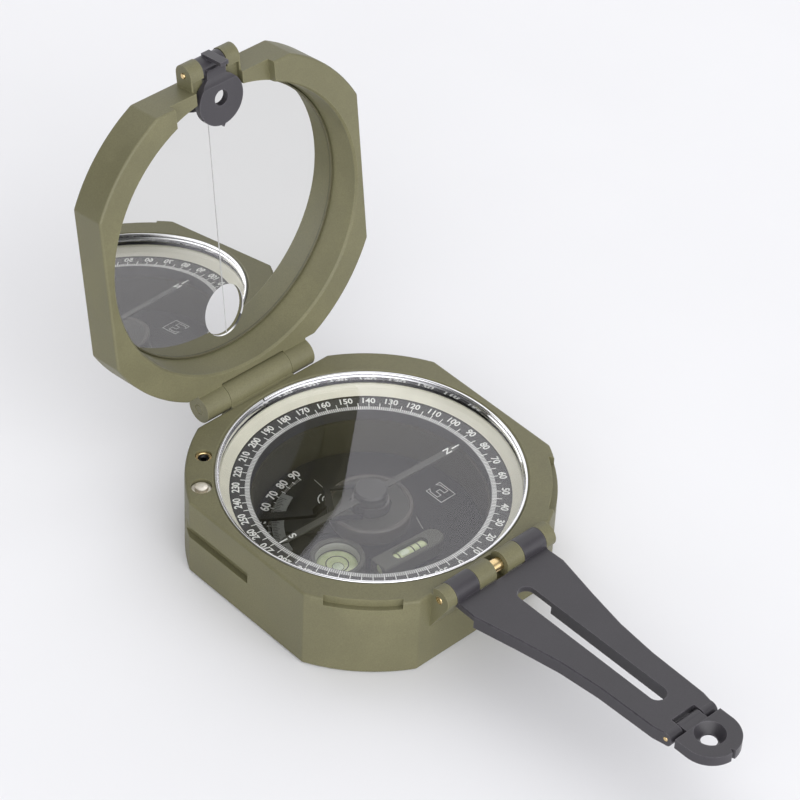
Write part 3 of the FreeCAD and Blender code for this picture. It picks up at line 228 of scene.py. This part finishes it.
OLIVE = linear(107, 104, 77)
CHARCOAL = linear(58, 56, 60)
# radius and top in millimetres of the dial well, where the paint is darkened as painted shade
CASE_WELL_SHADE = (31.5, 16)
finishes = {
    "olive_paint": paint("olive_paint", OLIVE, shaded_well=CASE_WELL_SHADE),
    "lever_olive": paint("lever_olive", scaled(OLIVE, 0.85)),
    "hinge_pin_olive": paint("hinge_pin_olive", scaled(OLIVE, 0.9), edge_wear_and_highlight=1.6),
    # the arm's brighter edges are partly wear and partly a painted highlight along them
    "satin_black": paint("satin_black", CHARCOAL, 0.36, grain=0.2, depth=0.008, edge_wear_and_highlight=1.9),
    "level_black": paint("level_black", linear(75, 76, 66), 0.5, grain=0.22, depth=0.008),
    "dial_black": paint("dial_black", linear(17, 17, 14), 0.7, grain=0.25, depth=0.01, uneven=0.15),
    "ring_grey": paint("ring_grey", linear(58, 58, 58), 0.55, grain=0.2, depth=0.005, uneven=0.06),
    "needle_dark": paint("needle_dark", linear(66, 66, 62), 0.4, grain=0.2, depth=0.004),
    "chrome": metal("chrome", linear(228, 228, 230), 0.09, depth=0.001, stain=0.08),
    "steel": metal("steel", linear(242, 236, 224), 0.45, (1, 1, 0.15)),
    "dark_steel": metal("dark_steel", linear(52, 52, 52), 0.45),
    "brass": metal("brass", linear(222, 196, 146), 0.24, (0.12, 1, 1), stain=0.25),
    # the cup's edges are brightened 3.2 times, a painted highlight on its rims
    "copper": paint("copper", linear(62, 59, 54), 0.36, grain=0.25, depth=0.004, edge_wear_and_highlight=3.2),
    "cup_grey": paint("cup_grey", linear(52, 52, 44), 0.5, grain=0.22, depth=0.006),
    "mirror_ring": paint("mirror_ring", linear(84, 81, 60), 0.5, grain=0.2, depth=0.004),
    "magnet_iron": metal("magnet_iron", linear(120, 118, 116), 0.5),
    "vernier_silver": paint("vernier_silver", linear(118, 120, 118), 0.45, grain=0.25, depth=0.006),
    "window_glass": clear_glass("window_glass", linear(252, 252, 251), 0.052),
    "vial_glass": liquid("vial_glass", linear(198, 207, 160), linear(178, 192, 140)),
    "mirror_glass": metal("mirror_glass", linear(226, 226, 224), 0.012, depth=0.0, stain=0.03, dark=0.9),
    "sight_line_white": plastic("sight_line_white", linear(178, 178, 178), 0.5),
    "gasket_rubber": plastic("gasket_rubber", linear(26, 26, 26), 0.7),
    "luminous_cream": plastic("luminous_cream", linear(226, 224, 208), 0.5, grain=0.18, depth=0.008,
                              uneven=0.03),
    "hub_black": plastic("hub_black", linear(40, 40, 38), 0.3),
}
for made in nodes.values():
    for holder in made.material_slots:
        holder.material = finishes[holder.material.name.split(".")[0]]

white_ink = plastic("white_ink", linear(236, 238, 236), 0.45, grain=0.12)
faint_ink = plastic("faint_ink", linear(150, 150, 144), 0.5, grain=0.12)
track_ink = plastic("track_ink", linear(150, 150, 152), 0.5, grain=0.12)
liner = plastic("liner", linear(150, 152, 140), 0.4, grain=0.2)
black_ink = plastic("black_ink", linear(18, 20, 18), 0.4, grain=0.12)
bubble_glass = liquid("bubble_glass", linear(206, 216, 192), linear(184, 200, 168))


# ---------------------------------------------------------------- printed marks


MIDDLE = (0, 0)


def skin(mesh, rings, capped=True):
    """Faces between each ring of points and the next, with both end rings filled if capped."""
    count = len(rings[0])
    for first, second in zip(rings, rings[1:]):
        for k in range(count):
            n = (k + 1) % count
            mesh.faces.new((first[k], first[n], second[n], second[k]))
    if capped:
        mesh.faces.new(rings[0][::-1])
        mesh.faces.new(rings[-1])


class Marks:
    """Thin printed shapes on flat faces, gathered into one piece that rides on one body."""

    thickness = 0.02

    def __init__(self, name, body, ink, slot):
        self.mesh = bmesh.new()
        self.name, self.body, self.ink, self.slot = name, body, ink, slot

    def prism(self, corners, low):
        """A closed thin slab over a flat outline, in millimetres."""
        below = [self.mesh.verts.new(Vector((x, y, low)) * MM) for x, y in corners]
        above = [self.mesh.verts.new(Vector((x, y, low + self.thickness)) * MM) for x, y in corners]
        self.mesh.faces.new(below[::-1])
        self.mesh.faces.new(above)
        for i in range(len(corners)):
            j = (i + 1) % len(corners)
            self.mesh.faces.new((below[i], below[j], above[j], above[i]))

    def radial(self, centre, angle, inner, outer, width, low):
        """A tick along a radius about centre."""
        a = math.radians(angle)
        along, across = Vector((math.cos(a), math.sin(a))), Vector((-math.sin(a), math.cos(a))) * width / 2
        c = Vector(centre)
        self.prism([c + along * inner - across, c + along * outer - across,
                    c + along * outer + across, c + along * inner + across], low)

    def arc(self, centre, inner, outer, start, end, low, steps):
        """A flat band of a ring, in steps short enough to look round."""
        c = Vector(centre)
        rows = []
        for i in range(steps + 1):
            a = math.radians(start + (end - start) * i / steps)
            d = Vector((math.cos(a), math.sin(a)))
            rows.append([self.mesh.verts.new(Vector((*(c + d * r), z)) * MM)
                         for r, z in ((inner, low), (outer, low), (outer, low + self.thickness),
                                      (inner, low + self.thickness))])
        closed = abs(end - start) >= 360
        if closed:
            for v in rows.pop():
                self.mesh.verts.remove(v)
            rows.append(rows[0])
        skin(self.mesh, rows, capped=not closed)

    def text(self, words, height, at, turn, low, bold=0.0, wide=1.0):
        """Letters centred on a point, their tops toward the direction turn in degrees."""
        data = bpy.data.curves.new(self.name + "_text", "FONT")
        data.body = words
        data.size = height / 0.73 * MM
        data.offset = bold * MM
        data.extrude = self.thickness / 2 * MM
        data.resolution_u = 5
        holder = bpy.data.objects.new(self.name + "_text", data)
        bpy.context.scene.collection.objects.link(holder)
        shown = holder.evaluated_get(bpy.context.evaluated_depsgraph_get())
        mesh = shown.to_mesh()
        xs, ys = [v.co.x for v in mesh.vertices], [v.co.y for v in mesh.vertices]
        middle = Vector(((min(xs) + max(xs)) / 2, (min(ys) + max(ys)) / 2, -self.thickness / 2 * MM))
        mesh.transform(Matrix.Translation(Vector((*at, low)) * MM)
                       @ Matrix.Rotation(math.radians(turn - 90), 4, "Z")
                       @ Matrix.Diagonal((wide, 1, 1, 1)) @ Matrix.Translation(-middle))
        self.mesh.from_mesh(mesh)
        shown.to_mesh_clear()
        bpy.data.objects.remove(holder)
        bpy.data.curves.remove(data)

    def finish(self):
        bmesh.ops.recalc_face_normals(self.mesh, faces=self.mesh.faces)
        piece(self.name, self.mesh, self.body, self.ink, smooth=False)


def piece(name, mesh, body, finish, smooth=True):
    """An object made from a finished mesh, riding on a body and wearing one material."""
    data = bpy.data.meshes.new(name)
    mesh.to_mesh(data)
    mesh.free()
    for face in data.polygons:
        face.use_smooth = smooth
    data.materials.append(finish)
    made = bpy.data.objects.new(name, data)
    bpy.context.scene.collection.objects.link(made)
    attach(made, body)
    return made


def polar(radius, angle):
    """A point at a radius from the dial's axis, toward an angle in degrees."""
    return Vector((math.cos(math.radians(angle)), math.sin(math.radians(angle)))) * radius


def top(node):
    """Height of a CAD node's top, in millimetres."""
    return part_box(node)[1].z / MM


def compass_ring():
    """Degree figures every 10, long ticks every 5 and a close track of single degrees."""
    low = top("azimuth_ring")
    zero = -91.5
    figures = Marks("azimuth_figures", "azimuth_ring", white_ink, "sight_line_white")
    ticks = Marks("azimuth_ticks", "azimuth_ring", white_ink, "sight_line_white")
    track = Marks("azimuth_track", "azimuth_ring", track_ink, "ring_grey")
    for value in range(0, 360, 10):
        angle = zero + value
        figures.text(str(value), 1.73, polar(29.8, angle), angle, low, bold=0.06, wide=0.94)
    for value in range(360):
        reach = 28.75 if value % 10 == 0 else 28.95 if value % 5 == 0 else 27.75
        width = 0.2 if value % 5 == 0 else 0.15
        ticks.radial(MIDDLE, zero + value, 26.75, reach, width, low + 0.01)
    track.arc(MIDDLE, 26.68, 27.8, 0, 360, low - 0.01, steps=180)
    for marks in (figures, ticks, track):
        marks.finish()


def clinometer_scale():
    """The dip scale on the dial floor, with the small marks round it."""
    low = top("base_plate")
    zero = 182.5
    bright = Marks("dip_scale", "case", white_ink, "sight_line_white")
    faint = Marks("floor_marks", "case", faint_ink, "sight_line_white")
    for value in range(-90, 91, 10):
        angle = zero - value
        bright.text(str(abs(value)), 2.1, polar(24.1, angle), angle, low, bold=0.06, wide=0.92)
    for value in range(-90, 91):
        reach = 22.95 if value % 10 == 0 else 22.75 if value % 5 == 0 else 22.5
        ink = faint if value % 5 else bright
        ink.radial(MIDDLE, zero + value, 21.8, reach, 0.14 if value % 5 else 0.18, low)
    faint.radial(MIDDLE, 86, 16.0, 20.0, 0.2, low)
    for radius in (1.5, 2.5):
        bright.arc((-0.4, 12.9), radius - 0.13, radius + 0.13, 95, 250, low, steps=20)
    # the outlined letter E, drawn stroke by stroke
    letter = [(-2.4, 2.0), (2.2, 2.0), (2.2, 0.9), (1.5, 1.5), (-0.7, 1.5), (-0.7, 0.5), (0.7, 0.5),
              (0.7, -0.5), (-0.7, -0.5), (-0.7, -1.5), (1.6, -1.5), (2.3, -0.9), (2.3, -2.0), (-2.4, -2.0)]
    letter_size = 1.08
    letter_at = Vector((20.3, -1.6))
    for first, second in zip(letter, letter[1:] + letter[:1]):
        a, b = [letter_at + Vector((-p[1], p[0])) * letter_size for p in (first, second)]
        along = (b - a).normalized()
        across = Vector((-along.y, along.x)) * 0.09
        a, b = a - along * 0.08, b + along * 0.08
        bright.prism([a - across, b - across, b + across, a + across], low)
    # a short printed stroke beside the hub
    a, b = Vector((10.5, -4.1)), Vector((9.1, -7.8))
    across = Vector((0.1, 0.04))
    faint.prism([a - across, a + across, b + across, b - across], low)
    bright.finish()
    faint.finish()


def vernier_marks():
    """Fine divisions along the vernier sector's outer edge."""
    low = top("vernier_plate")
    marks = Marks("vernier_marks", "clinometer", black_ink, "level_black")
    start, step = 116, 1.4
    for i in range(33):
        marks.radial(MIDDLE, start + i * step, 20.5 if i % 4 else 20.0, 21.62, 0.16, low)
    marks.finish()


def needle_marks():
    """White tips and the two letters of the needle."""
    low = top("compass_needle")
    marks = Marks("needle_marks", "needle", white_ink, "sight_line_white")
    turn = -2.3
    for angle in (turn, turn + 180):
        marks.radial(MIDDLE, angle, 23.7, 25.9, 0.34, low)
    marks.text("N", 1.75, polar(22.4, turn), turn, low, bold=0.06)
    marks.text("S", 1.75, polar(22.2, turn + 180), turn + 180, low, bold=0.06)
    marks.finish()


# ---------------------------------------------------------------- levels


def lathe(name, profile, at, body, finish, steps=48, closed=False):
    """A turned piece from (radius, height) points in millimetres; closed joins the last to the first."""
    mesh = bmesh.new()
    rows = []
    for i in range(steps):
        a = 2 * math.pi * i / steps
        rows.append([mesh.verts.new((r * math.cos(a), r * math.sin(a), z)) for r, z in profile])
    count = len(profile)
    for i in range(steps):
        first, second = rows[i], rows[(i + 1) % steps]
        for k in range(count if closed else count - 1):
            n = (k + 1) % count
            mesh.faces.new((first[k], second[k], second[n], first[n]))
    bmesh.ops.remove_doubles(mesh, verts=mesh.verts, dist=1e-4)
    mesh.transform(Matrix.Translation(Vector(at) * MM) @ Matrix.Scale(MM, 4))
    bmesh.ops.recalc_face_normals(mesh, faces=mesh.faces)
    piece(name, mesh, body, finish)


def round_level():
    """The bull's-eye ring, the bubble with its dark edge, and the liner of the bore."""
    low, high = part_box("round_level_vial")
    x, y = (low.x + high.x) / 2 / MM, (low.y + high.y) / 2 / MM
    z = top("round_level_vial")
    wall = [(4.62, z + 0.02), (4.97, z + 0.02), (4.97, z + 1.7), (4.85, z + 1.7), (4.62, z + 0.3)]
    lathe("round_level_liner", wall, (x, y, 0), "clinometer", liner, closed=True)
    ring = Marks("round_level_ring", "clinometer", black_ink, "level_black")
    ring.arc((x, y), 2.38, 2.62, 0, 360, z, steps=60)
    bubble_x, bubble_y = x - 0.4, y - 0.75
    bubble_radius, bubble_height = 1.25, 0.16
    dome = [(bubble_radius * math.cos(a), bubble_height * math.sin(a))
            for a in (i * math.pi / 16 for i in range(9))]
    lathe("round_level_bubble", dome, (bubble_x, bubble_y, z), "clinometer", bubble_glass)
    rim = Marks("round_level_bubble_edge", "clinometer", black_ink, "level_black")
    rim.arc((bubble_x, bubble_y), 1.22, 1.36, 0, 360, z + 0.005, steps=40)
    for marks in (ring, rim):
        marks.finish()


def tube_level():
    """The bubble and the three reading lines of the long vial."""
    radius = 1.6
    turned = Matrix.Rotation(math.radians(-4.0), 4, "Z")
    middle = turned @ Vector((0, -14.0, 0))
    middle.z = top("tube_level_vial") - radius
    placed = Matrix.Translation(middle * MM) @ turned @ Matrix.Scale(MM, 4)
    for i, along in enumerate((-3.2, 0.7, 2.35)):
        mesh = bmesh.new()
        rows = []
        for k in range(17):
            a = math.radians(25 + 130 * k / 16)
            y, z = math.cos(a), math.sin(a)
            rows.append([mesh.verts.new((along + dx, (radius + lift) * y, (radius + lift) * z))
                         for dx, lift in ((-0.13, 0.01), (0.13, 0.01), (0.13, 0.05), (-0.13, 0.05))])
        skin(mesh, rows)
        mesh.transform(placed)
        bmesh.ops.recalc_face_normals(mesh, faces=mesh.faces)
        piece(f"tube_level_line_{i + 1}", mesh, "clinometer", black_ink)
    mesh = bmesh.new()
    bmesh.ops.create_uvsphere(mesh, u_segments=28, v_segments=16, radius=1)
    for v in mesh.verts:
        x = v.co.x
        v.co.x = math.copysign(abs(x) ** 0.75 * 1.45, x) - 1.5
        v.co.y *= 0.9
        v.co.z = v.co.z * 0.28 + radius - 0.2
    mesh.transform(placed)
    piece("tube_level_bubble", mesh, "clinometer", bubble_glass)


def plunger_spring():
    """The coil under the plunger, built at one fixed length; it does not shorten as the plunger goes down."""
    low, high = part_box("plunger_spring")
    middle = (low + high) / 2 / MM
    foot, head, wire, radius, turns = 16.0, 17.58, 0.14, 1.32, 3
    mesh = bmesh.new()
    rows = []
    steps = turns * 28
    for i in range(steps + 1):
        a = 2 * math.pi * turns * i / steps
        z = foot + wire + (head - foot - 2 * wire) * i / steps
        out = Vector((math.cos(a), math.sin(a), 0))
        centre = Vector((middle.x, middle.y, z)) + out * radius
        rows.append([mesh.verts.new((centre + (out * math.cos(b) + Vector((0, 0, math.sin(b)))) * wire) * MM)
                     for b in (k * math.pi / 4 for k in range(8))])
    skin(mesh, rows)
    bmesh.ops.recalc_face_normals(mesh, faces=mesh.faces)
    coil = piece("plunger_coil", mesh, "case", finishes["steel"])
    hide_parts("plunger_spring")
    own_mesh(coil)


compass_ring()
clinometer_scale()
vernier_marks()
needle_marks()
round_level()
tube_level()
plunger_spring()


# ---------------------------------------------------------------- floor, light and camera


def floor():
    """A plain pale sheet, wide enough to fill every view."""
    mesh = bmesh.new()
    bmesh.ops.create_grid(mesh, x_segments=8, y_segments=8, size=4)
    data = bpy.data.meshes.new("floor")
    mesh.to_mesh(data)
    mesh.free()
    f = Finish("floor_paper")
    shade = f.between(f.noise(60, 3), 0.3, 0.7)
    base = f.blend(shade, (0.80, 0.80, 0.815, 1), (0.81, 0.81, 0.825, 1))
    data.materials.append(f.done(f.shader(base, 0.9, Specular_IOR_Level=0.1)))
    made = bpy.data.objects.new("floor", data)
    made.location.z = -0.0002
    bpy.context.scene.collection.objects.link(made)


def surroundings(level, *glows):
    """Even pale light from all round, with broad brighter patches (strength, toward, edge, full)."""
    world = bpy.data.worlds.new("studio")
    bpy.context.scene.world = world
    world.use_nodes = True
    t = Tree(world.node_tree)
    where = t.add("ShaderNodeTexCoord").outputs["Generated"]
    strength = level
    for extra, toward, edge, full in glows:
        aim = Vector(toward).normalized()
        facing = t.add("ShaderNodeVectorMath", {0: where, 1: aim}, operation="DOT_PRODUCT").outputs["Value"]
        strength = t.math("ADD", strength, t.between(facing, edge, full, 0.0, extra))
    shade = t.add("ShaderNodeBackground", {"Color": (0.985, 0.985, 1.0, 1), "Strength": strength})
    t.add("ShaderNodeOutputWorld", {"Surface": shade.outputs[0]})


def camera(azimuth, elevation, roll, distance, focal, aside, above):
    """A camera round the dial's centre; aside and above shift it square to its view, in millimetres."""
    a, e, r = (math.radians(v) for v in (azimuth, elevation, roll))
    back = Vector((math.sin(a) * math.cos(e), -math.cos(a) * math.cos(e), math.sin(e)))
    right = Vector((math.cos(a), math.sin(a), 0))
    up = back.cross(right)
    right, up = (math.cos(r) * right + math.sin(r) * up, -math.sin(r) * right + math.cos(r) * up)
    data = bpy.data.cameras.new("camera")
    data.sensor_width = 36
    data.lens = 36 * focal
    data.clip_start, data.clip_end = 0.05, 20
    made = bpy.data.objects.new("camera", data)
    made.rotation_mode = "QUATERNION"
    made.rotation_quaternion = Matrix((right, up, back)).transposed().to_quaternion()
    made.location = (Vector((0, 0, 15)) + back * distance + right * aside + up * above) * MM
    bpy.context.scene.collection.objects.link(made)
    bpy.context.scene.camera = made


floor()
back_glow = (1.23, (0.53, 0.54, 0.66), 0.45, 0.9)
front_glow = (3.15, (-0.4, -0.9, 0.0), 0.1, 0.95)
surroundings(0.15, back_glow, front_glow)
camera(azimuth=-44.7522, elevation=40.9754, roll=2.9636, distance=720.67, focal=3269.77 / 800,
       aside=6.42, above=20.19)
bpy.context.scene.view_settings.view_transform = "Standard"
